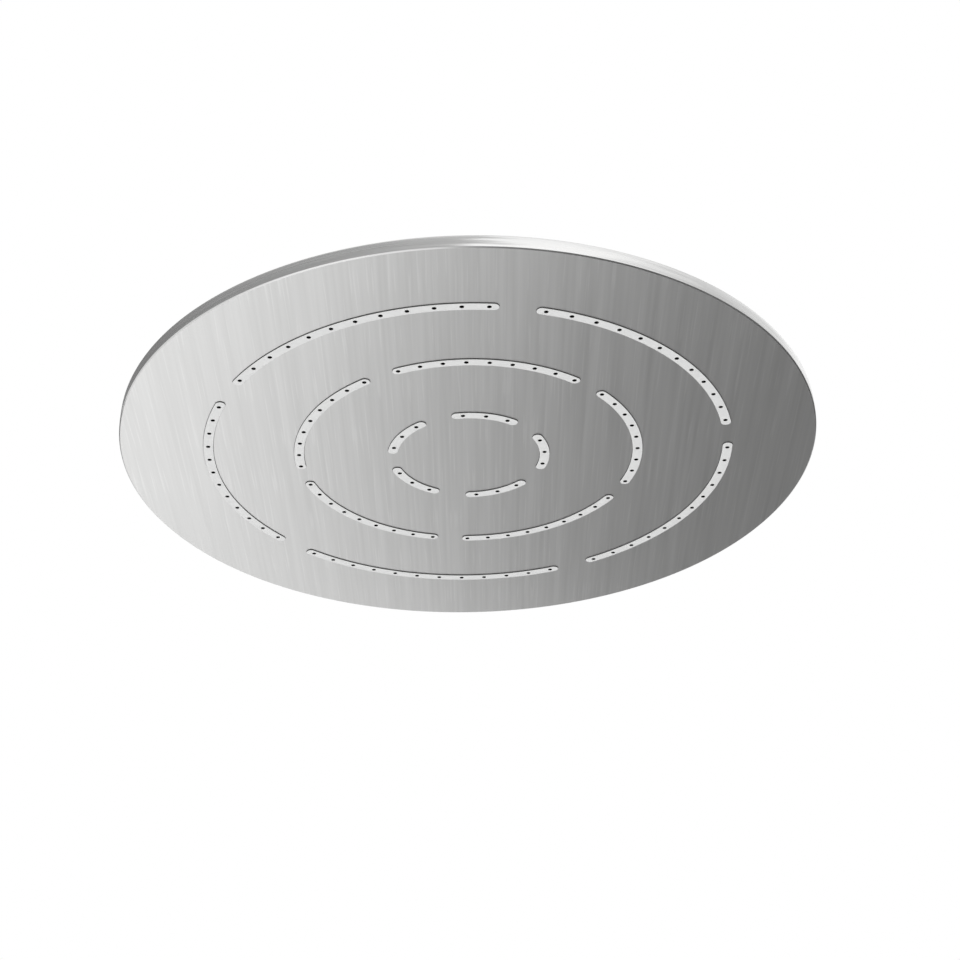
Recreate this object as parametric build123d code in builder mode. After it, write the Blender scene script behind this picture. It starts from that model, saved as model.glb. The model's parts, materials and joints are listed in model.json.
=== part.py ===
# Overhead shower head: a flat round rain plate in brushed steel, hung from its inlet by a ball joint.
# Millimetres, +Z up, origin on the inlet's axis at the mouth of its thread, the spray face looking down.
import os
from math import cos, degrees, radians, sin, sqrt

from build123d import *

# Rain plate: face plate below, drawn shell above, together as high as the rim
head_diameter = 450.0
rim_height = 9.0
plate_thickness = 1.2
plate_edge_chamfer = 0.7
shell_thickness = 1.0
shell_edge_chamfer = 0.8

# Nozzle strips: arcs of white silicone moulded into slots of the face plate
strips_per_ring = 5
strip_width = 6.5
strip_proud = 0.6
strip_behind = 1.6
strip_slot_clearance = 0.05
nozzle_diameter = 2.8
nozzle_side_count = 6

# The three rings of strips: place, gap between two tips, and the nozzles with their margin from a tip
rim_to_outer_ring = 56.7
outer_strip_gap = 22.1
outer_strip_angle = -115.5
outer_nozzle_count = 12
outer_nozzle_margin = 5.9
middle_ring_radius = 110.0
middle_strip_gap = 16.9
middle_strip_angle = -82.7
middle_nozzle_count = 9
middle_nozzle_margin = 3.7
inner_ring_radius = 49.6
inner_strip_gap = 18.3
inner_strip_angle = -76.5
inner_nozzle_count = 3
inner_nozzle_margin = 7.3

# Stay posts: hexagonal stand-offs between the two sheets, in two circles between the rings
post_across_flats = 8.0
outer_post_count = 10
inner_post_count = 5

# Inlet: a half-inch pipe socket with a washer and a filter screen at its bottom
inlet_thread_diameter = 20.955
inlet_thread_length = 11.0
socket_diameter = 24.6
socket_flats_width = 23.4
socket_flats_height = 8.0
socket_floor = 1.7
washer_diameter = 18.6
washer_bore_diameter = 12.0
washer_thickness = 2.4
screen_thickness = 0.5
screen_mesh_flats = 2.4
screen_mesh_pitch = 3.2
pocket_clearance = 0.1

# Ball joint: the ball, its seal, and the ring and nut that hold it in the boss
ball_diameter = 30.0
ball_flat_depth = 11.6
ball_shoulder_diameter = 23.0
ball_seat_clearance = 0.15
ball_to_socket = 15.0
waist_diameter = 17.0
water_bore_diameter = 11.0
seal_height = 2.2
seal_depth = 2.4
seal_below_centre = 0.4
seal_clearance = 0.07
friction_ring_diameter = 34.0
friction_ring_bore_diameter = 25.9
friction_ring_height = 4.0
friction_ring_angle = 66.0
nut_across_flats = 40.0
nut_corner_diameter = 44.0
nut_opening_diameter = 25.6
nut_lip = 2.0
nut_top_diameter = 33.0
nut_height = 17.5
nut_shoulder_drop = 3.5
joint_clearance = 0.1

# Inlet boss: the threaded cup welded to the middle of the shell
boss_thread_diameter = 36.0
boss_rise = 3.0
boss_seat_angle = 135.0
boss_bore_diameter = 15.0
boss_flange_diameter = 70.0
boss_flange_thickness = 2.5
boss_spigot_diameter = 26.0
ball_to_shell = 17.0

# Heights worked out from the sizes above
pocket_depth = washer_thickness + screen_thickness + pocket_clearance
ball_z = -(inlet_thread_length + pocket_depth + socket_floor + ball_to_socket)
shell_top_z = ball_z - ball_to_shell
shell_inside_z = shell_top_z - shell_thickness
face_z = shell_top_z - rim_height
plate_top_z = face_z + plate_thickness

# Radii worked out from the sizes above
head_radius = head_diameter / 2
ball_radius = ball_diameter / 2
seat_radius = ball_radius + ball_seat_clearance
waist_radius = waist_diameter / 2
water_bore_radius = water_bore_diameter / 2
socket_radius = socket_diameter / 2
thread_radius = inlet_thread_diameter / 2
washer_radius = washer_diameter / 2
boss_radius = boss_thread_diameter / 2
boss_bore_radius = boss_bore_diameter / 2

outer_ring_radius = head_radius - rim_to_outer_ring
outer_nozzles = (outer_nozzle_count, outer_nozzle_margin)
middle_nozzles = (middle_nozzle_count, middle_nozzle_margin)
inner_nozzles = (inner_nozzle_count, inner_nozzle_margin)
rings = [
    ("outer", outer_ring_radius, outer_strip_gap, outer_strip_angle, outer_nozzles),
    ("middle", middle_ring_radius, middle_strip_gap, middle_strip_angle, middle_nozzles),
    ("inner", inner_ring_radius, inner_strip_gap, inner_strip_angle, inner_nozzles),
]

os.makedirs("parts", exist_ok=True)


def write(piece, name):
    """Label one finished piece and write it to its own file."""
    piece.part.label = name
    export_step(piece.part, f"parts/{name}.step")


def arc_degrees(length, radius):
    """The angle that a length takes up along a ring."""
    return degrees(length / radius)


def strip_span(radius, gap):
    """The angle of a strip from tip to tip, which is what the gap leaves of its share of the ring."""
    return 360 / strips_per_ring - arc_degrees(gap, radius)


def strip_centre_line(radius, gap, angle):
    """The arc along the middle of a strip, shorter than the strip by its two round ends."""
    line_span = strip_span(radius, gap) - arc_degrees(strip_width, radius)
    with BuildLine() as line:
        CenterArc((0, 0), radius, angle - line_span / 2, line_span)
    return line.wire()


def cone_z(radius, angle):
    """Height, at a radius, of the cone that touches the ball at an angle down from its top."""
    return ball_z + (seat_radius - radius * sin(radians(angle))) / cos(radians(angle))


def cone_radius(z, angle):
    """Radius, at a height, of the cone that touches the ball at an angle down from its top."""
    return (seat_radius - (z - ball_z) * cos(radians(angle))) / sin(radians(angle))


# Ball stem: turned brass, a threaded socket on top, a waist, and a ball grooved for its seal
flat_radius = sqrt(ball_radius**2 - ball_flat_depth**2)
shoulder_radius = ball_shoulder_diameter / 2
shoulder_z = ball_z + sqrt(ball_radius**2 - shoulder_radius**2)
waist_z = shoulder_z + shoulder_radius - waist_radius
pocket_radius = washer_radius + pocket_clearance
pocket_floor_z = -(inlet_thread_length + pocket_depth)
socket_under_z = ball_z + ball_to_socket
groove_radius = ball_radius - seal_depth
groove_top_z = ball_z - seal_below_centre + seal_clearance
groove_height = seal_height + 2 * seal_clearance
with BuildPart() as ball_stem:
    with BuildSketch(Plane.XZ):
        with BuildLine():
            Polyline(
                (water_bore_radius, ball_z - ball_flat_depth),
                (flat_radius, ball_z - ball_flat_depth),
            )
            ThreePointArc(
                (flat_radius, ball_z - ball_flat_depth),
                (ball_radius, ball_z),
                (shoulder_radius, shoulder_z),
            )
            Polyline(
                (shoulder_radius, shoulder_z),
                (waist_radius, waist_z),
                (waist_radius, socket_under_z),
                (socket_radius, socket_under_z),
                (socket_radius, 0),
                (thread_radius, 0),
                (thread_radius, -inlet_thread_length),
                (pocket_radius, -inlet_thread_length),
                (pocket_radius, pocket_floor_z),
                (water_bore_radius, pocket_floor_z),
                (water_bore_radius, ball_z - ball_flat_depth),
            )
        make_face()
    revolve(axis=Axis.Z)
    with BuildSketch(Plane.XY.offset(groove_top_z)):
        Circle(ball_radius)
        Circle(groove_radius, mode=Mode.SUBTRACT)
    extrude(amount=-groove_height, mode=Mode.SUBTRACT)
    with BuildSketch(Plane.XY):
        Circle(socket_radius)
        Rectangle(socket_diameter, socket_flats_width, mode=Mode.SUBTRACT)
    extrude(amount=-socket_flats_height, mode=Mode.SUBTRACT)
write(ball_stem, "ball_stem")

# Inlet washer: flat rubber ring under the end of the arm's pipe
washer_bottom_z = pocket_floor_z + screen_thickness
with BuildPart() as inlet_washer:
    with BuildSketch(Plane.XY.offset(washer_bottom_z)):
        Circle(washer_radius)
        Circle(washer_bore_diameter / 2, mode=Mode.SUBTRACT)
    extrude(amount=washer_thickness)
write(inlet_washer, "inlet_washer")

# Filter screen: thin steel disc pierced over the water bore, held down by the washer
with BuildPart() as filter_screen:
    with BuildSketch(Plane.XY.offset(pocket_floor_z)):
        Circle(washer_radius)
        with HexLocations(screen_mesh_pitch / 2, 3, 3):
            RegularPolygon(screen_mesh_flats / 2, 6, major_radius=False, mode=Mode.SUBTRACT)
    extrude(amount=screen_thickness)
write(filter_screen, "filter_screen")

# Ball seal: square rubber ring in the groove round the ball, just proud of it
seal_bottom_drop = seal_below_centre + seal_height
seal_radius = sqrt((seat_radius - seal_clearance) ** 2 - seal_bottom_drop**2)
with BuildPart() as ball_seal:
    with BuildSketch(Plane.XY.offset(ball_z - seal_bottom_drop)):
        Circle(seal_radius)
        Circle(groove_radius + seal_clearance, mode=Mode.SUBTRACT)
    extrude(amount=seal_height)
write(ball_seal, "ball_seal")

# Friction ring: hard plastic ring whose cone bears on the ball from above
ring_bore_radius = friction_ring_bore_diameter / 2
ring_top_z = cone_z(ring_bore_radius, friction_ring_angle)
ring_bottom_z = ring_top_z - friction_ring_height
friction_ring_radius = friction_ring_diameter / 2
with BuildPart() as friction_ring:
    with BuildSketch(Plane.XZ):
        with BuildLine():
            Polyline(
                (ring_bore_radius, ring_top_z),
                (friction_ring_radius, ring_top_z),
                (friction_ring_radius, ring_bottom_z),
                (cone_radius(ring_bottom_z, friction_ring_angle), ring_bottom_z),
                close=True,
            )
        make_face()
    revolve(axis=Axis.Z)
write(friction_ring, "friction_ring")

# Retaining nut: hexagonal brass nut, screwed on the boss, with a lip over the friction ring
lip_bottom_z = ring_top_z + joint_clearance
nut_top_z = lip_bottom_z + nut_lip
nut_bottom_z = nut_top_z - nut_height
nut_shoulder_z = nut_top_z - nut_shoulder_drop
recess_radius = friction_ring_radius + joint_clearance
nut_thread_radius = boss_radius + joint_clearance
nut_thread_top_z = ball_z + boss_rise + joint_clearance
with BuildPart() as retaining_nut:
    with BuildSketch(Plane.XZ):
        with BuildLine():
            Polyline(
                (nut_opening_diameter / 2, lip_bottom_z),
                (recess_radius, lip_bottom_z),
                (recess_radius, nut_thread_top_z),
                (nut_thread_radius, nut_thread_top_z),
                (nut_thread_radius, nut_bottom_z),
                (nut_corner_diameter / 2, nut_bottom_z),
                (nut_corner_diameter / 2, nut_shoulder_z),
                (nut_top_diameter / 2, nut_top_z),
                (nut_opening_diameter / 2, nut_top_z),
                close=True,
            )
        make_face()
    revolve(axis=Axis.Z)
    with BuildSketch(Plane.XY.offset(nut_bottom_z)):
        RegularPolygon(nut_across_flats / 2, 6, major_radius=False)
    extrude(amount=nut_height, mode=Mode.INTERSECT)
write(retaining_nut, "retaining_nut")

# Inlet boss: threaded cup with a conical seat under the ball, a welded flange and a spigot into the shell
cup_radius = seat_radius + joint_clearance
flange_top_z = shell_top_z + boss_flange_thickness
spigot_radius = boss_spigot_diameter / 2
with BuildPart() as inlet_boss:
    with BuildSketch(Plane.XZ):
        with BuildLine():
            Polyline(
                (cup_radius, ball_z + boss_rise),
                (boss_radius, ball_z + boss_rise),
                (boss_radius, flange_top_z),
                (boss_flange_diameter / 2, flange_top_z),
                (boss_flange_diameter / 2, shell_top_z),
                (spigot_radius, shell_top_z),
                (spigot_radius, shell_inside_z),
                (boss_bore_radius, shell_inside_z),
                (boss_bore_radius, cone_z(boss_bore_radius, boss_seat_angle)),
                (cup_radius, cone_z(cup_radius, boss_seat_angle)),
                close=True,
            )
        make_face()
    revolve(axis=Axis.Z)
write(inlet_boss, "inlet_boss")

# Rear shell: drawn steel pan, its rim wall standing on the edge of the face plate
with BuildPart() as rear_shell:
    with BuildSketch(Plane.XY.offset(plate_top_z)):
        Circle(head_radius)
    extrude(amount=rim_height - plate_thickness)
    chamfer(rear_shell.faces().sort_by(Axis.Z)[-1].edges(), shell_edge_chamfer)
    with BuildSketch(Plane.XY.offset(plate_top_z)):
        Circle(head_radius - shell_thickness)
    extrude(amount=shell_inside_z - plate_top_z, mode=Mode.SUBTRACT)
    with BuildSketch(Plane.XY.offset(shell_inside_z)):
        Circle(spigot_radius + joint_clearance)
    extrude(amount=shell_thickness, mode=Mode.SUBTRACT)
write(rear_shell, "rear_shell")

# Face plate: steel disc with a chamfered edge and a slot for every strip
slot_width = strip_width + 2 * strip_slot_clearance
with BuildPart() as face_plate:
    with BuildSketch(Plane.XY.offset(face_z)):
        Circle(head_radius)
    extrude(amount=plate_thickness)
    chamfer(face_plate.faces().sort_by(Axis.Z)[0].edges(), plate_edge_chamfer)
    with BuildSketch(Plane.XY.offset(face_z)):
        for name, radius, gap, angle, nozzles in rings:
            centre_line = strip_centre_line(radius, gap, angle)
            with PolarLocations(0, strips_per_ring):
                SlotArc(centre_line, slot_width)
    extrude(amount=plate_thickness, mode=Mode.SUBTRACT)
write(face_plate, "face_plate")

# Nozzle strips: silicone arcs that fill the slots, each with a row of nozzle bores from back to front
strip_bottom_z = face_z - strip_proud
strip_height = strip_proud + plate_thickness + strip_behind
for name, radius, gap, angle, (nozzle_count, nozzle_margin) in rings:
    nozzle_span = strip_span(radius, gap) - 2 * arc_degrees(nozzle_margin, radius)
    for number in range(strips_per_ring):
        strip_angle = angle + number * 360 / strips_per_ring
        centre_line = strip_centre_line(radius, gap, strip_angle)
        with BuildPart() as nozzle_strip:
            with BuildSketch(Plane.XY.offset(strip_bottom_z)):
                SlotArc(centre_line, strip_width)
                first_angle = strip_angle - nozzle_span / 2
                with PolarLocations(radius, nozzle_count, first_angle, nozzle_span, endpoint=True):
                    RegularPolygon(nozzle_diameter / 2, nozzle_side_count, mode=Mode.SUBTRACT)
            extrude(amount=strip_height)
        write(nozzle_strip, f"nozzle_strip_{name}_{number + 1}")

# Stay posts: hexagonal posts that tie the two sheets together against the water pressure
post_height = shell_inside_z - plate_top_z
post_circles = [
    ("outer", (outer_ring_radius + middle_ring_radius) / 2, outer_post_count),
    ("inner", (middle_ring_radius + inner_ring_radius) / 2, inner_post_count),
]
for name, circle_radius, post_count in post_circles:
    with BuildPart() as stay_posts:
        with BuildSketch(Plane.XY.offset(plate_top_z)):
            with PolarLocations(circle_radius, post_count):
                RegularPolygon(post_across_flats / 2, 6, major_radius=False)
        extrude(amount=post_height)
    write(stay_posts, f"stay_posts_{name}")
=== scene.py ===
import json
import math

import bmesh
import bpy
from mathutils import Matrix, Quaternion, Vector
from mathutils.geometry import tessellate_polygon


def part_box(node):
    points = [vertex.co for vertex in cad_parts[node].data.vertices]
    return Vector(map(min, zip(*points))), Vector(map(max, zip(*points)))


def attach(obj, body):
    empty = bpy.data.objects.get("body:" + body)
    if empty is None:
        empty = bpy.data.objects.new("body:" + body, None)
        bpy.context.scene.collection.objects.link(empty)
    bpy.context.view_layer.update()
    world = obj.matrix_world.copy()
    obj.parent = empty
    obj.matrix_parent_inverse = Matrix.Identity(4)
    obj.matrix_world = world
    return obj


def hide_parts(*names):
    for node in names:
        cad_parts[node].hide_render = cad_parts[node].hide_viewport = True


# Overhead shower head: a flat round rain plate in brushed stainless steel, hung from its inlet by a
# ball joint. Metres, +Z up, the origin on the inlet's axis at the mouth of its thread, the spray face
# looking down.
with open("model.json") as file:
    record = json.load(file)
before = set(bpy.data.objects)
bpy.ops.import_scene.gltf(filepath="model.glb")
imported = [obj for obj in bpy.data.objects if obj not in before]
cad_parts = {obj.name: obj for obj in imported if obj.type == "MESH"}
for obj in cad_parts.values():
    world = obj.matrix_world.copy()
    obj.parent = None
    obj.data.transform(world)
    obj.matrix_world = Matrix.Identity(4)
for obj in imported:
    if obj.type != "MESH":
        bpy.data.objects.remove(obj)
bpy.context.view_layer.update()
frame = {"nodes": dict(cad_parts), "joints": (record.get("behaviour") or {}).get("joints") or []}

# Ball stem: the inlet that screws on the arm's half-inch pipe and ends in the ball the head hangs from.
# Brass bar turned in one piece, with a threaded socket and two spanner flats, plated in satin nickel.
# The arm's pipe thread holds it, and it stays still while the head leans round its ball.
mm = 0.001
ball_z = frame["joints"][0]["pos_m"][2]
stem_bottom_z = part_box("ball_stem")[0].z
ball_radius = 15 * mm
shoulder_radius = 11.5 * mm
waist_radius = 8.5 * mm
socket_radius = 12.3 * mm
socket_under_z = ball_z + 15 * mm
socket_edge = 0.4 * mm
flats_half_width = 11.7 * mm
flats_bottom_z = -8 * mm
flats_ledge = 0.02 * mm
inlet_thread_radius = 10.4775 * mm
inlet_thread_length = 11 * mm
inlet_thread_pitch = 1.814 * mm
inlet_thread_depth = 1.1 * mm
washer_pocket_radius = 9.4 * mm
washer_pocket_z = -14 * mm
water_bore_radius = 5.5 * mm
seal_groove_radius = 12.6 * mm
seal_groove_top_z = ball_z - 0.33 * mm
seal_groove_bottom_z = seal_groove_top_z - 2.34 * mm
rows_per_pitch = 8
turned_segments = 144
ball_steps = 16
lathe_ring_scale = 4200
lathe_ring_depth = 0.01 * mm
nickel_dark = (0.52, 0.51, 0.49)
nickel_light = (0.66, 0.65, 0.63)


class PieceBody:
    """A piece put together from closed loops of points, with walls between loops and flat caps over them."""

    def __init__(self):
        self.points = []
        self.faces = []
        self.finishes = []
        self.smooth = []

    def loop(self, points):
        first = len(self.points)
        self.points += points
        return range(first, len(self.points))

    def wall(self, lower, upper, finish=0):
        count = len(lower)
        for k in range(count):
            after = (k + 1) % count
            self.faces.append((lower[k], lower[after], upper[after], upper[k]))
            self.finishes.append(finish)
            self.smooth.append(True)

    def cap(self, outline, holes=(), finish=0):
        loops = [outline, *holes]
        corners = [corner for loop in loops for corner in loop]
        for triangle in tessellate_polygon([[Vector(self.points[i]) for i in loop] for loop in loops]):
            self.faces.append([corners[i] for i in triangle])
            self.finishes.append(finish)
            self.smooth.append(False)

    def piece(self, name, materials, crease=15):
        mesh = bpy.data.meshes.new(name)
        mesh.from_pydata(self.points, [], self.faces)
        mesh.polygons.foreach_set("material_index", self.finishes)
        mesh.polygons.foreach_set("use_smooth", self.smooth)
        bm = bmesh.new()
        bm.from_mesh(mesh)
        bmesh.ops.recalc_face_normals(bm, faces=bm.faces)
        bm.to_mesh(mesh)
        bm.free()
        mesh.set_sharp_from_angle(angle=math.radians(crease))
        for material in materials:
            mesh.materials.append(material)
        made = bpy.data.objects.new(name, mesh)
        bpy.context.scene.collection.objects.link(made)
        return made


def turned(profile, segments):
    """The closed (radius, height) profile of a turned piece, spun about the inlet's axis."""
    body = PieceBody()
    turns = [math.tau * k / segments for k in range(segments)]
    loops = [body.loop([(r * math.cos(a), r * math.sin(a), z) for a in turns]) for r, z in profile]
    for lower, upper in zip(loops, loops[1:] + loops[:1]):
        body.wall(lower, upper)
    return body


def cut_thread(body, radius, low_z, high_z, pitch, depth, outside):
    """Press a screw thread into the wall of a turned piece that stands at one radius between two heights."""
    for i, (x, y, z) in enumerate(body.points):
        if abs(math.hypot(x, y) - radius) > 1e-6 or not low_z <= z <= high_z:
            continue
        phase = (z / pitch - math.atan2(y, x) / math.tau) % 1
        ridge = min(1, max(0, 1.25 - 3 * abs(phase - 0.5)))
        run_out = min(1, (z - low_z) / pitch, (high_z - z) / pitch)
        inward = depth * run_out * (1 - ridge if outside else ridge)
        scale = (radius - inward) / radius
        body.points[i] = (x * scale, y * scale, z)


def ball_arc(from_z, to_z, steps):
    """Points on the ball's outline between two heights."""
    heights = [from_z + (to_z - from_z) * k / steps - ball_z for k in range(steps + 1)]
    return [(math.sqrt(ball_radius**2 - z**2), z + ball_z) for z in heights]


def finish_nodes(name):
    """A new finish, with its node list, its link call and its surface shader."""
    material = bpy.data.materials.new(name)
    material.use_nodes = True
    nodes = material.node_tree.nodes
    return material, nodes, material.node_tree.links.new, nodes["Principled BSDF"]


def stretched_noise(nodes, link, scale, detail):
    """Noise in the piece's own place, drawn out along the directions whose scale is low."""
    place = nodes.new("ShaderNodeTexCoord")
    stretch = nodes.new("ShaderNodeMapping")
    stretch.inputs["Scale"].default_value = scale
    noise = nodes.new("ShaderNodeTexNoise")
    noise.inputs["Scale"].default_value = 1
    noise.inputs["Detail"].default_value = detail
    link(place.outputs["Object"], stretch.inputs["Vector"])
    link(stretch.outputs["Vector"], noise.inputs["Vector"])
    return noise.outputs["Fac"]


def spread(nodes, link, value, low, high, low_to, high_to):
    """A value's run from low to high, mapped to another run and held at its ends."""
    ramp = nodes.new("ShaderNodeMapRange")
    for socket, number in zip(ramp.inputs[1:5], (low, high, low_to, high_to)):
        socket.default_value = number
    link(value, ramp.inputs["Value"])
    return ramp.outputs["Result"]


def tint(nodes, link, value, dark, light):
    """A colour between two, by a value from 0 to 1."""
    mix = nodes.new("ShaderNodeMix")
    mix.data_type = "RGBA"
    mix.inputs["A"].default_value = (*dark, 1)
    mix.inputs["B"].default_value = (*light, 1)
    link(value, mix.inputs["Factor"])
    return mix.outputs["Result"]


def relief(nodes, link, height, depth):
    """A fine relief from a height, at most a few hundredths of a millimetre deep."""
    bump = nodes.new("ShaderNodeBump")
    bump.inputs["Distance"].default_value = depth
    link(height, bump.inputs["Height"])
    return bump.outputs["Normal"]


def satin_nickel():
    """Nickel plate over turned brass, with the lathe's fine rings showing through."""
    material, nodes, link, surface = finish_nodes("satin_nickel")
    place = nodes.new("ShaderNodeTexCoord")
    across = nodes.new("ShaderNodeVectorMath")
    across.operation = "MULTIPLY"
    across.inputs[1].default_value = (1, 1, 0)
    radius = nodes.new("ShaderNodeVectorMath")
    radius.operation = "LENGTH"
    height = nodes.new("ShaderNodeSeparateXYZ")
    ring_place = nodes.new("ShaderNodeCombineXYZ")
    rings = nodes.new("ShaderNodeTexNoise")
    rings.inputs["Scale"].default_value = lathe_ring_scale
    rings.inputs["Detail"].default_value = 2
    link(place.outputs["Object"], across.inputs[0])
    link(across.outputs["Vector"], radius.inputs[0])
    link(place.outputs["Object"], height.inputs["Vector"])
    link(radius.outputs["Value"], ring_place.inputs["X"])
    link(height.outputs["Z"], ring_place.inputs["Z"])
    link(ring_place.outputs["Vector"], rings.inputs["Vector"])
    cloud = stretched_noise(nodes, link, (180, 180, 180), 3)
    link(tint(nodes, link, cloud, nickel_dark, nickel_light), surface.inputs["Base Color"])
    link(spread(nodes, link, rings.outputs["Fac"], 0.3, 0.7, 0.24, 0.36), surface.inputs["Roughness"])
    link(relief(nodes, link, rings.outputs["Fac"], lathe_ring_depth), surface.inputs["Normal"])
    around = nodes.new("ShaderNodeTangent")
    around.direction_type = "RADIAL"
    around.axis = "Z"
    link(around.outputs["Tangent"], surface.inputs["Tangent"])
    surface.inputs["Metallic"].default_value = 1
    surface.inputs["Anisotropic"].default_value = 0.5
    surface.inputs["Anisotropic Rotation"].default_value = 0.25
    return material


nickel = satin_nickel()
shoulder_z = ball_z + math.sqrt(ball_radius**2 - shoulder_radius**2)
thread_rows = math.ceil(inlet_thread_length / inlet_thread_pitch * rows_per_pitch)
stem_profile = [(water_bore_radius, stem_bottom_z)]
stem_profile += ball_arc(stem_bottom_z, seal_groove_bottom_z, ball_steps)
stem_profile += [(seal_groove_radius, seal_groove_bottom_z), (seal_groove_radius, seal_groove_top_z)]
stem_profile += ball_arc(seal_groove_top_z, shoulder_z, ball_steps)
stem_profile += [
    (waist_radius, shoulder_z + shoulder_radius - waist_radius),
    (waist_radius, socket_under_z),
    (socket_radius - socket_edge, socket_under_z),
    (socket_radius, socket_under_z + socket_edge),
    (socket_radius, flats_bottom_z - flats_ledge),
    (socket_radius, flats_bottom_z),
    (socket_radius, -socket_edge),
    (socket_radius - socket_edge, 0),
]
stem_profile += [
    (inlet_thread_radius, -inlet_thread_length * k / thread_rows) for k in range(thread_rows + 1)
]
stem_profile += [
    (washer_pocket_radius, -inlet_thread_length),
    (washer_pocket_radius, washer_pocket_z),
    (water_bore_radius, washer_pocket_z),
]
stem_body = turned(stem_profile, turned_segments)
cut_thread(
    stem_body,
    inlet_thread_radius,
    -inlet_thread_length,
    0,
    inlet_thread_pitch,
    inlet_thread_depth,
    outside=False,
)
for i, (x, y, z) in enumerate(stem_body.points):
    if z >= flats_bottom_z:
        stem_body.points[i] = (x, max(-flats_half_width, min(flats_half_width, y)), z)
turned_stem = stem_body.piece("turned_stem", [nickel])
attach(turned_stem, "inlet")
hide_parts("ball_stem")

# Inlet washer: the flat rubber ring that seals the end of the arm's pipe.
# Black rubber, stamped from sheet, lying on the filter screen at the bottom of the socket.
rubber_dark = (0.018, 0.018, 0.018)
rubber_light = (0.055, 0.054, 0.052)
rubber_grain_depth = 0.02 * mm


def moulded_rubber():
    """Black rubber with a dull bloom and a fine grain."""
    material, nodes, link, surface = finish_nodes("moulded_rubber")
    bloom = stretched_noise(nodes, link, (350, 350, 350), 4)
    grain = stretched_noise(nodes, link, (6000, 6000, 6000), 2)
    link(tint(nodes, link, bloom, rubber_dark, rubber_light), surface.inputs["Base Color"])
    link(spread(nodes, link, bloom, 0.3, 0.7, 0.5, 0.7), surface.inputs["Roughness"])
    link(relief(nodes, link, grain, rubber_grain_depth), surface.inputs["Normal"])
    return material


def dress(node, material):
    """Give a solid that stays as it is its finish."""
    frame["nodes"][node].data.materials[0] = material


rubber = moulded_rubber()
dress("inlet_washer", rubber)

# Filter screen: the thin disc that keeps grit out of the nozzles.
# Pierced stainless sheet, held down by the washer over the water bore.
screen_dark = (0.5, 0.5, 0.5)
screen_light = (0.62, 0.62, 0.61)


def plain_steel():
    """Rolled stainless sheet, a little uneven in its gloss."""
    material, nodes, link, surface = finish_nodes("plain_steel")
    cloud = stretched_noise(nodes, link, (260, 260, 260), 4)
    link(tint(nodes, link, cloud, screen_dark, screen_light), surface.inputs["Base Color"])
    link(spread(nodes, link, cloud, 0.3, 0.7, 0.25, 0.42), surface.inputs["Roughness"])
    surface.inputs["Metallic"].default_value = 1
    return material


sheet_steel = plain_steel()
dress("filter_screen", sheet_steel)

# Ball seal: the rubber ring in the groove round the ball, which keeps the water in as the head leans.
# The same black rubber as the washer, moulded, and held in its groove by its own stretch.
dress("ball_seal", rubber)

# Friction ring: the hard ring that presses on the ball from above, so that the head stays where it is set.
# Natural white acetal, turned, trapped under the lip of the retaining nut.
acetal_dark = (0.74, 0.74, 0.7)
acetal_light = (0.83, 0.83, 0.8)
acetal_glow_reach = (1 * mm, 1 * mm, 0.8 * mm)


def white_acetal():
    """Waxy white plastic, faintly cloudy, with a soft inner glow."""
    material, nodes, link, surface = finish_nodes("white_acetal")
    cloud = stretched_noise(nodes, link, (200, 200, 200), 3)
    link(tint(nodes, link, cloud, acetal_dark, acetal_light), surface.inputs["Base Color"])
    link(spread(nodes, link, cloud, 0.3, 0.7, 0.32, 0.45), surface.inputs["Roughness"])
    surface.inputs["Subsurface Weight"].default_value = 0.2
    surface.inputs["Subsurface Radius"].default_value = acetal_glow_reach
    return material


dress("friction_ring", white_acetal())

# Retaining nut: the hexagonal nut that holds the ball and its ring in the boss.
# Brass, turned and milled, in the same satin nickel as the stem, screwed down on the boss.
nut_low, nut_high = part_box("retaining_nut")
nut_flat_radius = 20 * mm
nut_corner_radius = nut_high.x
nut_corner_ease = 0.5 * mm
nut_edge_ease = 0.45 * mm
nut_top_radius = 16.5 * mm
nut_shoulder_slope = 3.5 / 5.5
nut_opening_radius = 12.8 * mm
nut_lip_z = nut_high.z - 2 * mm
nut_recess_radius = 17.1 * mm
nut_thread_radius = 18.1 * mm
nut_thread_top_z = ball_z + 3.1 * mm
nut_flats = 6
nut_angles_on_flat = (
    *(-30, -28, -26.5, -25.5, -24.6, -23.7, -22.5, -20, -10),
    *(0, 10, 20, 22.5, 23.7, 24.6, 25.5, 26.5, 28),
)


def eased(before, corner, after, reach, steps=3):
    """A profile's corner, rounded off to a reach along both its sides."""
    before, corner, after = Vector(before), Vector(corner), Vector(after)
    first = corner + (before - corner).normalized() * reach
    last = corner + (after - corner).normalized() * reach
    shares = [k / steps for k in range(steps + 1)]
    return [first * (1 - t) ** 2 + corner * 2 * t * (1 - t) + last * t**2 for t in shares]


def nut_profile(from_flat):
    """The nut's section at an angle from a flat's middle, from the lip's underside round and back to it."""
    on_flat = nut_flat_radius / math.cos(from_flat)
    share = min(1, max(0, 0.5 + 0.5 * (nut_corner_radius - on_flat) / nut_corner_ease))
    outer = nut_corner_radius + (on_flat - nut_corner_radius) * share - nut_corner_ease * share * (1 - share)
    shoulder_z = nut_high.z - (outer - nut_top_radius) * nut_shoulder_slope
    corners = [
        (nut_opening_radius, nut_lip_z),
        (nut_opening_radius, nut_high.z),
        (nut_top_radius, nut_high.z),
        (outer, shoulder_z),
        (outer, nut_low.z),
        (nut_thread_radius, nut_low.z),
        (nut_thread_radius, nut_thread_top_z),
    ]
    profile = [corners[0]]
    for before, corner, after in zip(corners, corners[1:], corners[2:]):
        profile += eased(before, corner, after, nut_edge_ease)
    return [*profile, corners[-1], (nut_recess_radius, nut_thread_top_z), (nut_recess_radius, nut_lip_z)]


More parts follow.
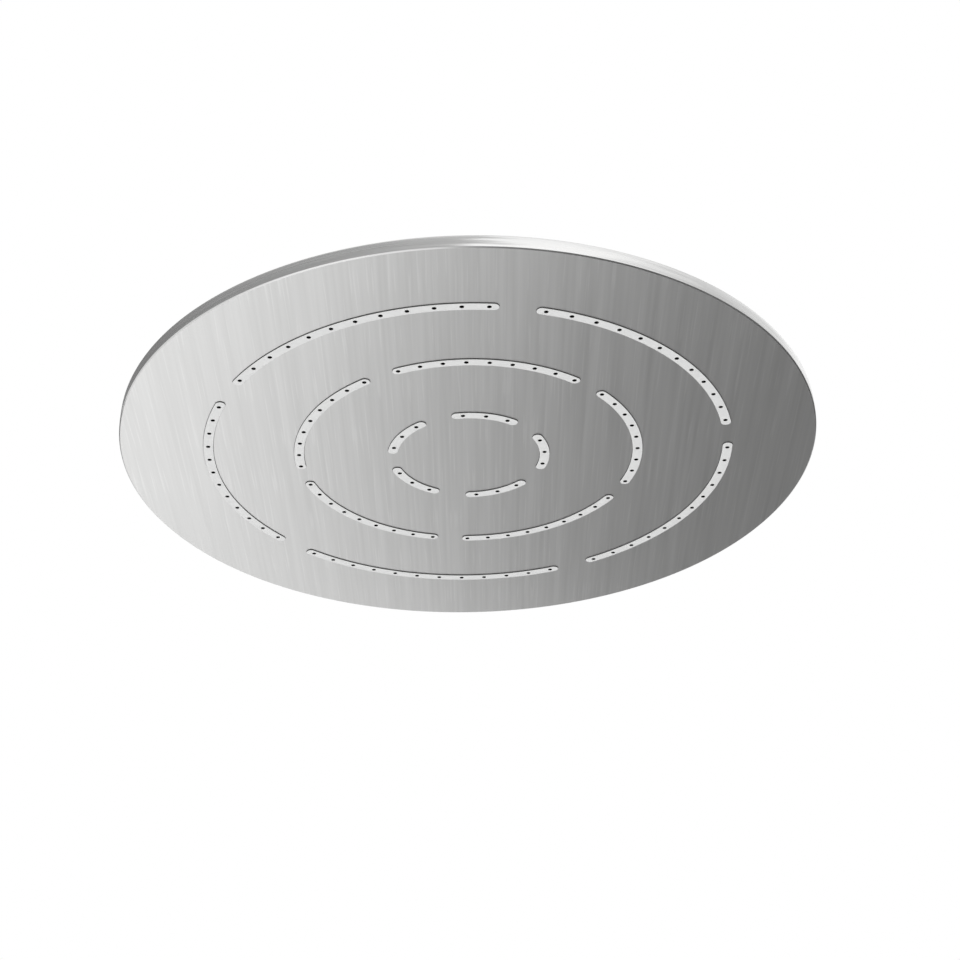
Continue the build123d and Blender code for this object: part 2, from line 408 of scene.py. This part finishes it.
nut_rows = []
for flat in range(nut_flats):
    for offset in nut_angles_on_flat:
        turn = math.radians(360 / nut_flats * (flat + 0.5) + offset)
        section = nut_profile(math.radians(offset))
        nut_rows.append([(r * math.cos(turn), r * math.sin(turn), z) for r, z in section])
nut_body = PieceBody()
nut_loops = [nut_body.loop(list(points)) for points in zip(*nut_rows)]
for lower, upper in zip(nut_loops, nut_loops[1:] + nut_loops[:1]):
    nut_body.wall(lower, upper)
milled_nut = nut_body.piece("milled_nut", [nickel], crease=35)
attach(milled_nut, "head")
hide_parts("retaining_nut")

# Inlet boss: the threaded cup that carries the ball, with a flange on the middle of the shell.
# Stainless steel, turned in one piece, with its thread below the nut in view, welded round the flange.
boss_low, boss_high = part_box("inlet_boss")
shell_top_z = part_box("rear_shell")[1].z
boss_radius = 18 * mm
boss_cup_radius = 15.25 * mm
boss_bore_radius = 7.5 * mm
boss_flange_radius = -boss_low.x
boss_flange_top_z = shell_top_z + 2.5 * mm
boss_flange_edge = 0.5 * mm
boss_spigot_radius = 13 * mm
boss_thread_pitch = 1.5 * mm
boss_thread_depth = 0.75 * mm
boss_thread_relief = 1.2 * mm
boss_fillet = 1.2 * mm
boss_seat_radius = 15.15 * mm
fillet_steps = 6
boss_ring_depth = 0.008 * mm
boss_dark = (0.5, 0.5, 0.49)
boss_light = (0.66, 0.66, 0.65)


def turned_steel():
    """Turned stainless steel with fine cutting rings, a little duller than plate."""
    material, nodes, link, surface = finish_nodes("turned_steel")
    rings = stretched_noise(nodes, link, (30, 30, 3000), 2)
    cloud = stretched_noise(nodes, link, (150, 150, 150), 3)
    link(tint(nodes, link, cloud, boss_dark, boss_light), surface.inputs["Base Color"])
    link(spread(nodes, link, rings, 0.3, 0.7, 0.26, 0.4), surface.inputs["Roughness"])
    link(relief(nodes, link, rings, boss_ring_depth), surface.inputs["Normal"])
    surface.inputs["Metallic"].default_value = 1
    return material


def seat_height(radius):
    """Height of the conical seat that meets the ball at 45 degrees."""
    return ball_z + radius - boss_seat_radius * math.sqrt(2)


thread_low_z = boss_flange_top_z + boss_fillet + boss_thread_relief
boss_rows = math.ceil((boss_high.z - thread_low_z) / boss_thread_pitch * rows_per_pitch)
boss_profile = [
    (boss_radius, thread_low_z + (boss_high.z - thread_low_z) * k / boss_rows)
    for k in range(boss_rows, -1, -1)
]
for k in range(fillet_steps + 1):
    turn = math.pi / 2 * k / fillet_steps
    boss_profile.append((
        boss_radius + boss_fillet * (1 - math.cos(turn)),
        boss_flange_top_z + boss_fillet * (1 - math.sin(turn)),
    ))
boss_profile += [
    (boss_flange_radius - boss_flange_edge, boss_flange_top_z),
    (boss_flange_radius, boss_flange_top_z - boss_flange_edge),
    (boss_flange_radius, shell_top_z),
    (boss_spigot_radius, shell_top_z),
    (boss_spigot_radius, boss_low.z),
    (boss_bore_radius, boss_low.z),
    (boss_bore_radius, seat_height(boss_bore_radius)),
    (boss_cup_radius, seat_height(boss_cup_radius)),
    (boss_cup_radius, boss_high.z),
]
boss_body = turned(boss_profile, turned_segments)
cut_thread(
    boss_body,
    boss_radius,
    thread_low_z,
    boss_high.z,
    boss_thread_pitch,
    boss_thread_depth,
    outside=True,
)
boss_steel = turned_steel()
turned_boss = boss_body.piece("turned_boss", [boss_steel])
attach(turned_boss, "head")
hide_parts("inlet_boss")

# Rear shell: the shallow pan that closes the back of the head and makes its rim.
# Stainless sheet, brushed in straight lines and drawn to shape, the rim then brushed along its length.
# The boss is welded over the hole in its middle, and the face plate to its lower edge.
head_radius = -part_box("rear_shell")[0].x
shell_bottom_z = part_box("rear_shell")[0].z
shell_thickness = 1 * mm
shell_edge_radius = 0.8 * mm
shell_hole_radius = 13.1 * mm
rim_crown = 0.3 * mm
rim_segments = 360
rim_steps = 8
edge_steps = 5
steel_dark = (0.595, 0.595, 0.59)
steel_light = (0.685, 0.685, 0.68)
rim_dark = (0.74, 0.74, 0.735)
rim_light = (0.775, 0.775, 0.77)
hair_scale = (400, 6, 6)
band_scale = (130, 4, 4)
band_share = 0.42
scratch_scale = (800, 18, 18)
streak_depth = 0.016 * mm
rim_hair_scale = (9, 9, 900)
rim_hair_depth = 0.003 * mm
rim_line_scale = (25, 25, 900)
rim_line_lean = 0.2


def combine_values(nodes, link, operation, first, second):
    """One step of arithmetic on a value and another value or a number."""
    step = nodes.new("ShaderNodeMath")
    step.operation = operation
    link(first, step.inputs[0])
    if isinstance(second, (int, float)):
        step.inputs[1].default_value = second
    else:
        link(second, step.inputs[1])
    return step.outputs["Value"]


def combine_directions(nodes, link, operation, first, second):
    """One step of arithmetic on a direction, and on another where the step takes two."""
    step = nodes.new("ShaderNodeVectorMath")
    step.operation = operation
    link(first, step.inputs[0])
    if second:
        link(second, step.inputs[1])
    return step.outputs["Vector"]


def across_grain(nodes, direction):
    """The direction across the brushed lines, which turns with the piece."""
    across = nodes.new("ShaderNodeVectorTransform")
    across.vector_type = "VECTOR"
    across.convert_from = "OBJECT"
    across.convert_to = "WORLD"
    across.inputs["Vector"].default_value = direction
    return across.outputs["Vector"]


def sheet_grain():
    """Brushed stainless sheet: hair lines and soft bands straight along Y, with a few bright scratches."""
    material, nodes, link, surface = finish_nodes("brushed_sheet")
    hair = stretched_noise(nodes, link, hair_scale, 1)
    band = stretched_noise(nodes, link, band_scale, 2)
    scratch = stretched_noise(nodes, link, scratch_scale, 0)
    streaks = nodes.new("ShaderNodeMix")
    streaks.inputs["Factor"].default_value = band_share
    link(hair, streaks.inputs["A"])
    link(band, streaks.inputs["B"])
    streak = streaks.outputs["Result"]
    shade = spread(nodes, link, streak, 0.32, 0.68, 0, 0.8)
    bright = spread(nodes, link, scratch, 0.64, 0.76, 0, 0.5)
    colour = tint(nodes, link, combine_values(nodes, link, "ADD", shade, bright), steel_dark, steel_light)
    link(colour, surface.inputs["Base Color"])
    link(spread(nodes, link, streak, 0.3, 0.7, 0.305, 0.34), surface.inputs["Roughness"])
    link(relief(nodes, link, streak, streak_depth), surface.inputs["Normal"])
    link(across_grain(nodes, (1, 0, 0)), surface.inputs["Tangent"])
    surface.inputs["Metallic"].default_value = 1
    surface.inputs["Anisotropic"].default_value = 0.7
    return material


def rim_grain():
    """The same steel on the rim, where the lines run round the head and lean a little either way."""
    material, nodes, link, surface = finish_nodes("brushed_rim")
    hair = stretched_noise(nodes, link, rim_hair_scale, 1)
    shade = spread(nodes, link, hair, 0.3, 0.7, 0, 1)
    link(tint(nodes, link, shade, rim_dark, rim_light), surface.inputs["Base Color"])
    link(spread(nodes, link, hair, 0.3, 0.7, 0.26, 0.32), surface.inputs["Roughness"])
    across = across_grain(nodes, (0, 0, 1))
    link(across, surface.inputs["Tangent"])
    outward = relief(nodes, link, hair, rim_hair_depth)
    along = combine_directions(nodes, link, "CROSS_PRODUCT", across, outward)
    line = stretched_noise(nodes, link, rim_line_scale, 1)
    lean = combine_directions(nodes, link, "SCALE", along, None)
    link(spread(nodes, link, line, 0, 1, -rim_line_lean, rim_line_lean), lean.node.inputs["Scale"])
    leaned = combine_directions(nodes, link, "ADD", outward, lean)
    link(combine_directions(nodes, link, "NORMALIZE", leaned, None), surface.inputs["Normal"])
    surface.inputs["Metallic"].default_value = 1
    surface.inputs["Anisotropic"].default_value = 0.6
    return material


def circle(radius, z, segments):
    """Points round the head's axis."""
    turns = [math.tau * k / segments for k in range(segments)]
    return [(radius * math.cos(a), radius * math.sin(a), z) for a in turns]


brushed_sheet = sheet_grain()
brushed_rim = rim_grain()
sheet_finish, rim_finish = 0, 1
shell_body = PieceBody()
shell_inside_z = shell_top_z - shell_thickness
hole_top = shell_body.loop(circle(shell_hole_radius, shell_top_z, rim_segments))
hole_under = shell_body.loop(circle(shell_hole_radius, shell_inside_z, rim_segments))
inside_corner = shell_body.loop(circle(head_radius - shell_thickness, shell_inside_z, rim_segments))
inside_edge = shell_body.loop(circle(head_radius - shell_thickness, shell_bottom_z, rim_segments))
rim_loops = []
for k in range(edge_steps + 1):
    turn = math.pi / 2 * k / edge_steps
    radius = head_radius - rim_crown - shell_edge_radius * (1 - math.sin(turn))
    z = shell_top_z - shell_edge_radius * (1 - math.cos(turn))
    rim_loops.append(shell_body.loop(circle(radius, z, rim_segments)))
for k in range(1, rim_steps + 1):
    share = k / rim_steps
    radius = head_radius - rim_crown * (1 - share) ** 2
    z = shell_top_z - shell_edge_radius + (shell_bottom_z - shell_top_z + shell_edge_radius) * share
    rim_loops.append(shell_body.loop(circle(radius, z, rim_segments)))
shell_body.cap(rim_loops[0], [hole_top], sheet_finish)
for upper, lower in zip(rim_loops, rim_loops[1:]):
    shell_body.wall(lower, upper, rim_finish)
shell_body.wall(rim_loops[-1], inside_edge, rim_finish)
shell_body.wall(inside_edge, inside_corner, rim_finish)
shell_body.cap(inside_corner, [hole_under], sheet_finish)
shell_body.wall(hole_under, hole_top, rim_finish)
steel_shell = shell_body.piece("steel_shell", [brushed_sheet, brushed_rim], crease=30)
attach(steel_shell, "head")
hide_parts("rear_shell")

# Face plate: the flat disc that the water falls from, with a slot for every nozzle strip.
# Stainless sheet, brushed in straight lines from front to back and cut out by laser, its edge
# chamfered and welded to the rim.
face_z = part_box("face_plate")[0].z
plate_top_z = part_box("face_plate")[1].z
plate_chamfer = 0.7 * mm
slot_half_width = 3.3 * mm
slot_edge = 0.12 * mm
strips_per_ring = 5
strip_tip_radius = 3.25 * mm
arc_steps = 40
tip_steps = 14
# Each ring of strips: its radius, the gap between two tips, and the direction of the first strip
strip_rings = {
    "outer": (168.3 * mm, 22.1 * mm, -115.5),
    "middle": (110.0 * mm, 16.9 * mm, -82.7),
    "inner": (49.6 * mm, 18.3 * mm, -76.5),
}


def strip_span(radius, gap):
    """The angle of a strip from tip to tip: its share of the ring less the gap to the next one."""
    return math.tau / strips_per_ring - gap / radius


def arc_outline(radius, middle, span, half_width, z):
    """A bent slot with round ends, its middle line along a ring and a tip's radius short of each end."""
    first = middle - span / 2 + strip_tip_radius / radius
    last = middle + span / 2 - strip_tip_radius / radius
    points = []

    def tip(angle, turn_from):
        cx, cy = radius * math.cos(angle), radius * math.sin(angle)
        for k in range(1, tip_steps):
            turn = turn_from + math.pi * k / tip_steps
            points.append((cx + half_width * math.cos(turn), cy + half_width * math.sin(turn), z))

    for k in range(arc_steps + 1):
        angle = first + (last - first) * k / arc_steps
        points.append(((radius + half_width) * math.cos(angle), (radius + half_width) * math.sin(angle), z))
    tip(last, last)
    for k in range(arc_steps, -1, -1):
        angle = first + (last - first) * k / arc_steps
        points.append(((radius - half_width) * math.cos(angle), (radius - half_width) * math.sin(angle), z))
    tip(first, first + math.pi)
    return points


plate_body = PieceBody()
chamfer_low = plate_body.loop(circle(head_radius - plate_chamfer, face_z, rim_segments))
chamfer_high = plate_body.loop(circle(head_radius, face_z + plate_chamfer, rim_segments))
plate_edge = plate_body.loop(circle(head_radius, plate_top_z, rim_segments))
plate_body.wall(chamfer_low, chamfer_high, rim_finish)
plate_body.wall(chamfer_high, plate_edge, rim_finish)
slots_below = []
slots_above = []
for radius, gap, angle in strip_rings.values():
    span = strip_span(radius, gap)
    for number in range(strips_per_ring):
        middle = math.radians(angle) + math.tau * number / strips_per_ring
        wide = arc_outline(radius, middle, span, slot_half_width + slot_edge, face_z)
        narrow = arc_outline(radius, middle, span, slot_half_width, face_z + slot_edge)
        slot_mouth = plate_body.loop(wide)
        slot_low = plate_body.loop(narrow)
        slot_high = plate_body.loop([(x, y, plate_top_z) for x, y, z in narrow])
        plate_body.wall(slot_mouth, slot_low, rim_finish)
        plate_body.wall(slot_low, slot_high, rim_finish)
        slots_below.append(slot_mouth)
        slots_above.append(slot_high)
plate_body.cap(chamfer_low, slots_below, sheet_finish)
plate_body.cap(plate_edge, slots_above, sheet_finish)
steel_face = plate_body.piece("steel_face", [brushed_sheet, brushed_rim], crease=30)
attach(steel_face, "head")
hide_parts("face_plate")

# Nozzle strips: fifteen arcs of soft nozzles, which a thumb rubs clean of lime.
# White silicone, moulded into the slots and bonded there, standing 0.6 mm proud of the plate.
strip_bottom_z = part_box("nozzle_strip_outer_1")[0].z
strip_top_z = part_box("nozzle_strip_outer_1")[1].z
strip_half_width = 3.25 * mm
strip_edge_radius = 0.25 * mm
strip_edge_steps = 4
nozzle_radius = 1.4 * mm
nozzle_mouth = 0.05 * mm
nozzle_segments = 20
silicone_grain_depth = 0.01 * mm
silicone_dark = (0.69, 0.695, 0.69)
silicone_light = (0.77, 0.77, 0.765)
# Painted shade: the strip's flanks are coloured dark grey for the shadow that falls along its sides
flank_painted_shade_dark = (0.07, 0.07, 0.07)
flank_painted_shade_light = (0.12, 0.12, 0.12)
# Painted shade: the nozzle bores are coloured near black for the shadow inside them
bore_painted_shade_dark = (0.004, 0.004, 0.004)
bore_painted_shade_light = (0.01, 0.01, 0.01)
# The nozzles of a strip in each ring, and the margin between the end ones and its tips
strip_nozzles = {"outer": (12, 5.9 * mm), "middle": (9, 3.7 * mm), "inner": (3, 7.3 * mm)}


def white_silicone():
    """Matt white silicone with a faint cloudiness and a fine grain."""
    material, nodes, link, surface = finish_nodes("white_silicone")
    cloud = stretched_noise(nodes, link, (220, 220, 220), 4)
    grain = stretched_noise(nodes, link, (3500, 3500, 3500), 2)
    link(tint(nodes, link, cloud, silicone_dark, silicone_light), surface.inputs["Base Color"])
    link(spread(nodes, link, cloud, 0.3, 0.7, 0.48, 0.6), surface.inputs["Roughness"])
    link(relief(nodes, link, grain, silicone_grain_depth), surface.inputs["Normal"])
    return material


def shadow_painted_silicone(name, dark, light):
    """Silicone down the sides of a strip or in a nozzle's bore, darkened with painted shade for the shadow
    that falls there.
    """
    material, nodes, link, surface = finish_nodes(name)
    cloud = stretched_noise(nodes, link, (500, 500, 500), 3)
    link(tint(nodes, link, cloud, dark, light), surface.inputs["Base Color"])
    surface.inputs["Roughness"].default_value = 0.7
    return material


silicone = white_silicone()
# Painted shade on the flanks and in the bores: dark colours stand in for the shadow there
flank_painted_shade = shadow_painted_silicone("silicone_flank_painted_shade", flank_painted_shade_dark, flank_painted_shade_light)
bore_painted_shade = shadow_painted_silicone("silicone_bore_painted_shade", bore_painted_shade_dark, bore_painted_shade_light)
strip_finishes = [silicone, flank_painted_shade, bore_painted_shade]
white, painted_shade_flank, bore = 0, 1, 2
for ring, (radius, gap, angle) in strip_rings.items():
    nozzle_count, nozzle_margin = strip_nozzles[ring]
    span = strip_span(radius, gap)
    nozzle_span = span - 2 * nozzle_margin / radius
    for number in range(strips_per_ring):
        middle = math.radians(angle) + math.tau * number / strips_per_ring
        strip_body = PieceBody()
        loops = []
        for k in range(strip_edge_steps + 1):
            turn = math.pi / 2 * k / strip_edge_steps
            half_width = strip_half_width - strip_edge_radius * (1 - math.sin(turn))
            z = strip_bottom_z + strip_edge_radius * (1 - math.cos(turn))
            loops.append(strip_body.loop(arc_outline(radius, middle, span, half_width, z)))
        loops.append(strip_body.loop(arc_outline(radius, middle, span, strip_half_width, strip_top_z)))
        for k, (lower, upper) in enumerate(zip(loops, loops[1:])):
            # The half of each edge's rounding next to the side, and the side itself, get the painted flank
            # shade
            strip_body.wall(lower, upper, white if k < strip_edge_steps // 2 else painted_shade_flank)
        mouths = []
        backs = []
        for k in range(nozzle_count):
            at = middle + nozzle_span * (k / (nozzle_count - 1) - 0.5)
            cx, cy = radius * math.cos(at), radius * math.sin(at)
            rounds = []
            for bore_radius, z in (
                (nozzle_radius + nozzle_mouth, strip_bottom_z),
                (nozzle_radius, strip_bottom_z + nozzle_mouth),
                (nozzle_radius, strip_top_z),
            ):
                rounds.append(strip_body.loop([
                    (cx + x, cy + y, h) for x, y, h in circle(bore_radius, z, nozzle_segments)
                ]))
            strip_body.wall(rounds[0], rounds[1], white)
            # The bore's wall gets the near black painted shade
            strip_body.wall(rounds[1], rounds[2], bore)
            mouths.append(rounds[0])
            backs.append(rounds[2])
        strip_body.cap(loops[0], mouths, white)
        strip_body.cap(loops[-1], backs, white)
        strip = strip_body.piece(f"silicone_strip_{ring}_{number + 1}", strip_finishes, crease=40)
        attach(strip, "head")
        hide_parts(f"nozzle_strip_{ring}_{number + 1}")

# Stay posts: the stand-offs inside the head that keep its two sheets from bulging under the water pressure.
# Hexagonal steel bar, welded at both ends and out of sight once the head is closed.
dress("stay_posts_outer", boss_steel)
dress("stay_posts_inner", boss_steel)

# Studio: a plain pale floor under the hanging head, and soft even light all round.
# Beyond the floor all is white, as the camera sees it and as the steel mirrors it.
scene = bpy.context.scene
scene.view_settings.view_transform = "Standard"
even_light = 0.75
floor_z = -1.6
floor_radius = 14.0
floor_fade_from = 3
floor_fade_to = 10
floor_dark = (0.87, 0.87, 0.87)
floor_light = (0.9, 0.9, 0.9)
studio_segments = 96


def seen_ray(nodes, link):
    """Whether a ray is what the camera sees, straight or by way of a mirror or glass."""
    ray = nodes.new("ShaderNodeLightPath")
    seen = ray.outputs["Is Camera Ray"]
    for other in ("Is Glossy Ray", "Is Transmission Ray"):
        seen = combine_values(nodes, link, "MAXIMUM", seen, ray.outputs[other])
    return seen


world = bpy.data.worlds.new("white_studio")
scene.world = world
world.use_nodes = True
world_nodes = world.node_tree.nodes
world_link = world.node_tree.links.new
world_level = spread(world_nodes, world_link, seen_ray(world_nodes, world_link), 0, 1, even_light, 1)
world_nodes["Background"].inputs["Color"].default_value = (1, 1, 1, 1)
world_link(world_level, world_nodes["Background"].inputs["Strength"])


def floor_paint():
    """Pale matt studio floor, which fades into the white round it far from the head."""
    material, nodes, link, surface = finish_nodes("studio_floor")
    cloud = stretched_noise(nodes, link, (3, 3, 3), 3)
    link(tint(nodes, link, cloud, floor_dark, floor_light), surface.inputs["Base Color"])
    surface.inputs["Roughness"].default_value = 0.9
    place = nodes.new("ShaderNodeTexCoord")
    away = nodes.new("ShaderNodeVectorMath")
    away.operation = "LENGTH"
    link(place.outputs["Object"], away.inputs[0])
    far = spread(nodes, link, away.outputs["Value"], floor_fade_from, floor_fade_to, 0, 1)
    white_beyond = nodes.new("ShaderNodeEmission")
    fade = nodes.new("ShaderNodeMixShader")
    link(combine_values(nodes, link, "MULTIPLY", far, seen_ray(nodes, link)), fade.inputs["Fac"])
    link(surface.outputs["BSDF"], fade.inputs[1])
    link(white_beyond.outputs["Emission"], fade.inputs[2])
    link(fade.outputs["Shader"], nodes["Material Output"].inputs["Surface"])
    return material


def stage_sheet(name, corners, material):
    """A flat sheet of the studio, which is no part of the head."""
    mesh = bpy.data.meshes.new(name)
    mesh.from_pydata(corners, [], [range(len(corners))])
    mesh.materials.append(material)
    made = bpy.data.objects.new(name, mesh)
    scene.collection.objects.link(made)
    return made


stage_sheet("studio_floor", circle(floor_radius, floor_z, studio_segments), floor_paint())

# Under cards: two glowing sheets below the head, one behind the other, for its face and chamfer to mirror
under_card_z = -0.75
under_card_half = 3
under_cards_meet_y = 0.3
far_left_from = -0.82
far_left_to = -1.15


def card_nodes(name):
    """A new glowing card, with its node list, its link call, its glow and the three parts of its place."""
    material = bpy.data.materials.new(name)
    material.use_nodes = True
    nodes = material.node_tree.nodes
    link = material.node_tree.links.new
    nodes.remove(nodes["Principled BSDF"])
    place = nodes.new("ShaderNodeTexCoord")
    parts = nodes.new("ShaderNodeSeparateXYZ")
    glow = nodes.new("ShaderNodeEmission")
    link(place.outputs["Object"], parts.inputs["Vector"])
    link(glow.outputs["Emission"], nodes["Material Output"].inputs["Surface"])
    return material, nodes, link, glow, parts


def side_glow(name, left_x, right_x, left_level, right_level, far_left_level, bow=0, bow_y=0):
    """A card that goes smoothly from a left to a right level, along lines that may bow to the right."""
    material, nodes, link, glow, parts = card_nodes(name)
    off = combine_values(nodes, link, "SUBTRACT", parts.outputs["Y"], bow_y)
    off_squared = combine_values(nodes, link, "MULTIPLY", off, off)
    bend = combine_values(nodes, link, "MULTIPLY", off_squared, bow)
    straightened = combine_values(nodes, link, "SUBTRACT", parts.outputs["X"], bend)
    run = spread(nodes, link, straightened, left_x, right_x, left_level, right_level)
    run.node.interpolation_type = "SMOOTHSTEP"
    dimmed = far_left_level / left_level
    far_left = spread(nodes, link, parts.outputs["X"], far_left_to, far_left_from, dimmed, 1)
    link(combine_values(nodes, link, "MULTIPLY", run, far_left), glow.inputs["Strength"])
    return material


def only_in_reflections(card):
    """A card that the steel mirrors, and that neither shows nor lights anything itself."""
    card.visible_camera = False
    card.visible_diffuse = False
    card.visible_transmission = False
    card.visible_shadow = False


def under_card(name, near_y, far_y, material):
    """A card under the head, as the brushed face and the plate's chamfer mirror it."""
    corners = [
        (-under_card_half, near_y, under_card_z),
        (under_card_half, near_y, under_card_z),
        (under_card_half, far_y, under_card_z),
        (-under_card_half, far_y, under_card_z),
    ]
    only_in_reflections(stage_sheet(name, corners, material))


edge_glow = side_glow("edge_glow", -0.5, 0.28, left_level=1.16, right_level=0.13, far_left_level=0.78)
under_card("edge_card", near_y=-2.5, far_y=under_cards_meet_y, material=edge_glow)
face_glow = side_glow(
    "face_glow", -0.498, 0.185, left_level=1.43, right_level=0.208, far_left_level=0.78, bow=0.32, bow_y=1.25
)
under_card("face_card", near_y=under_cards_meet_y, far_y=4, material=face_glow)

# Round card: a glowing band that stands all round the head, for its rim to mirror
round_card_radius = 2.2
round_card_low_z = 0.1
round_card_high_z = 3.0
plain_level = 0.6
belt_rise_z = (0.45, 0.9)
belt_blend_z = (0.9, 2.1)
belt_fall_z = (1.9, 2.4)
# Levels at the foot and at the top of the belt, by degrees to the right of the head's front
belt_levels = (
    (-180, 0.5, 0.5),
    (-140, 0.2, 0.2),
    (-90, 0.28, 0.3),
    (-40, 0.27, 0.33),
    (-20, 0.44, 0.46),
    (-2, 0.5, 0.5),
    (12, 1.5, 1.55),
    (40, 1.15, 1.72),
    (80, 0.28, 1.25),
    (120, 0.5, 1.6),
    (140, 1.1, 1.75),
    (180, 0.5, 0.5),
)


def round_glow(name):
    """A card round the head, plain above and below, with a belt between that the rim mirrors."""
    material, nodes, link, glow, parts = card_nodes(name)
    front = combine_values(nodes, link, "MULTIPLY", parts.outputs["Y"], -1)
    turn = combine_values(nodes, link, "ARCTAN2", parts.outputs["X"], front)
    direction = spread(nodes, link, turn, -math.pi, math.pi, 0, 1)
    brightest = max(high for degrees, low, high in belt_levels)

    def grey(level):
        return (level / brightest, level / brightest, level / brightest, 1)

    def level_by_direction(column):
        ramp = nodes.new("ShaderNodeValToRGB")
        stops = ramp.color_ramp.elements
        stops.remove(stops[1])
        for number, row in enumerate(belt_levels):
            stop = stops.new(0.5 + row[0] / 360) if number else stops[0]
            stop.color = grey(row[column])
        link(direction, ramp.inputs["Fac"])
        return ramp.outputs["Color"]

    def blend(first, second, share):
        mix = nodes.new("ShaderNodeMix")
        mix.data_type = "RGBA"
        link(share, mix.inputs["Factor"])
        link(second, mix.inputs["B"])
        if first:
            link(first, mix.inputs["A"])
        return mix

    height = parts.outputs["Z"]
    upward = spread(nodes, link, height, *belt_blend_z, 0, 1)
    belt = blend(level_by_direction(1), level_by_direction(2), upward)
    rise = spread(nodes, link, height, *belt_rise_z, 0, 1)
    fall = spread(nodes, link, height, *belt_fall_z, 1, 0)
    whole = blend(None, belt.outputs["Result"], combine_values(nodes, link, "MULTIPLY", rise, fall))
    whole.inputs["A"].default_value = grey(plain_level)
    link(whole.outputs["Result"], glow.inputs["Color"])
    glow.inputs["Strength"].default_value = brightest
    return material


round_body = PieceBody()
round_low = round_body.loop(circle(round_card_radius, round_card_low_z, studio_segments))
round_high = round_body.loop(circle(round_card_radius, round_card_high_z, studio_segments))
round_body.wall(round_low, round_high)
round_card = round_body.piece("round_card", [round_glow("round_glow")])
only_in_reflections(round_card)

# Flags: two dark cloths low behind the head, for the plate's chamfer to mirror
flag_radius = 2.15
flag_low_z = -0.75
flag_high_z = 0.1
flag_level_low = 0.09
flag_level_high = 0.1


def flag_cloth():
    """Dark cloth, a little darker towards its foot."""
    material, nodes, link, glow, parts = card_nodes("flag_cloth")
    height = parts.outputs["Z"]
    level = spread(nodes, link, height, flag_low_z, flag_high_z, flag_level_low, flag_level_high)
    link(level, glow.inputs["Strength"])
    return material


def dark_flag(name, from_degrees, to_degrees, cloth):
    """A dark upright card low behind the head, which the plate's chamfer mirrors."""
    ends = []
    for degrees in (from_degrees, to_degrees):
        turn = math.radians(degrees)
        ends.append((flag_radius * math.sin(turn), -flag_radius * math.cos(turn)))
    corners = [(*end, flag_low_z) for end in ends] + [(*end, flag_high_z) for end in reversed(ends)]
    only_in_reflections(stage_sheet(name, corners, cloth))


dark_cloth = flag_cloth()
dark_flag("right_flag", 80, 165, dark_cloth)
dark_flag("left_flag", -125, -170, dark_cloth)


def softbox(name, at, aim, size, power):
    """A large soft lamp."""
    lamp = bpy.data.lights.new(name, "AREA")
    lamp.size = size
    lamp.energy = power
    made = bpy.data.objects.new(name, lamp)
    made.location = at
    made.rotation_mode = "QUATERNION"
    made.rotation_quaternion = (Vector(aim) - Vector(at)).to_track_quat("-Z", "Y")
    made.visible_glossy = False
    scene.collection.objects.link(made)


softbox("key_softbox", at=(-1.6, -1.2, 1.6), aim=(0, 0, -0.05), size=1.5, power=22)
softbox("low_softbox", at=(0.4, -0.3, -1.5), aim=(0.4, -0.3, 0), size=1.8, power=7)

# Camera: below the head and in front of it, looking up at the spray face through a long lens.
# Its distance, slope and roll, and the face's place in the picture, are those of the photograph.
photo_size = 960
face_centre_px = (468.5, 455.75)
focal_px = 2103
camera_distance = 1.370
camera_below = math.radians(31.23)
camera_roll = math.radians(-1.12)
lens = bpy.data.cameras.new("photo_camera")
lens.sensor_width = 36
lens.lens = focal_px / photo_size * lens.sensor_width
camera = bpy.data.objects.new("photo_camera", lens)
scene.collection.objects.link(camera)
scene.camera = camera
face_centre = Vector((0, 0, face_z))
to_face = Vector((0, math.cos(camera_below), math.sin(camera_below)))
camera.location = face_centre - camera_distance * to_face
centre_ray = Vector((face_centre_px[0] - photo_size / 2, photo_size / 2 - face_centre_px[1], -focal_px))
off_centre = centre_ray.rotation_difference(Vector((0, 0, -1)))
camera.rotation_mode = "QUATERNION"
camera.rotation_quaternion = (
    to_face.to_track_quat("-Z", "Y") @ Quaternion((0, 0, 1), camera_roll) @ off_centre
)
